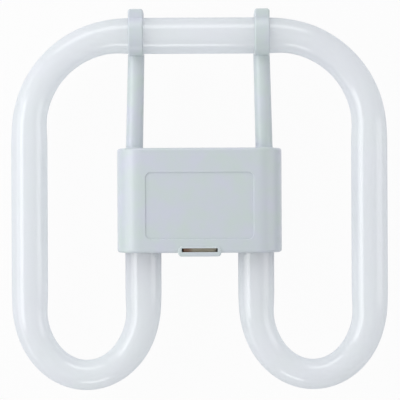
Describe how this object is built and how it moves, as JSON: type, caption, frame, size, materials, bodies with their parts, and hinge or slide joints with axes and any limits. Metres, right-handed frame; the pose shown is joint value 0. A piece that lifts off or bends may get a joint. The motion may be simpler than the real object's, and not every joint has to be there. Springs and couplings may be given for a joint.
{
  "type": "square compact fluorescent lamp",
  "caption": "Square compact fluorescent lamp: a white glass tube bent into two D shapes, held by a moulded housing with arms that hook over the tube.",
  "frame": {"origin": "on the flat back face that seats on the lampholder, under the middle of the lamp's outline", "axes": "+X to the lamp's right and +Y towards its hooks, both in the plane of the tube; +Z out of its front"},
  "size_m": [0.138, 0.1392, 0.0273],
  "materials": {
    "coated_glass": "gloss",
    "housing_plastic": "satin",
    "contact_metal": "satin",
    "bond": "satin",
    "sleeving": "satin",
    "starter_glass": "gloss",
    "capacitor_coating": "satin",
    "tinned_wire": "satin"
  },
  "bodies": {
    "root": {"discharge_tube": "coated_glass", "front_shell": "housing_plastic", "rear_shell": "housing_plastic", "contact_pin_left": "contact_metal", "contact_pin_right": "contact_metal", "bond_ring_left": "bond", "bond_ring_right": "bond", "starter_bottle": "starter_glass", "capacitor": "capacitor_coating", "crimp_left": "contact_metal", "crimp_right": "contact_metal", "lead_left_to_starter": "tinned_wire", "lead_left_to_pin": "tinned_wire", "lead_right_to_starter": "tinned_wire", "lead_right_to_pin": "tinned_wire", "sleeve_left": "sleeving", "sleeve_right": "sleeving", "starter_leg_left": "tinned_wire", "starter_leg_right": "tinned_wire", "capacitor_leg_left": "tinned_wire", "capacitor_leg_right": "tinned_wire"}
  },
  "joints": []
}
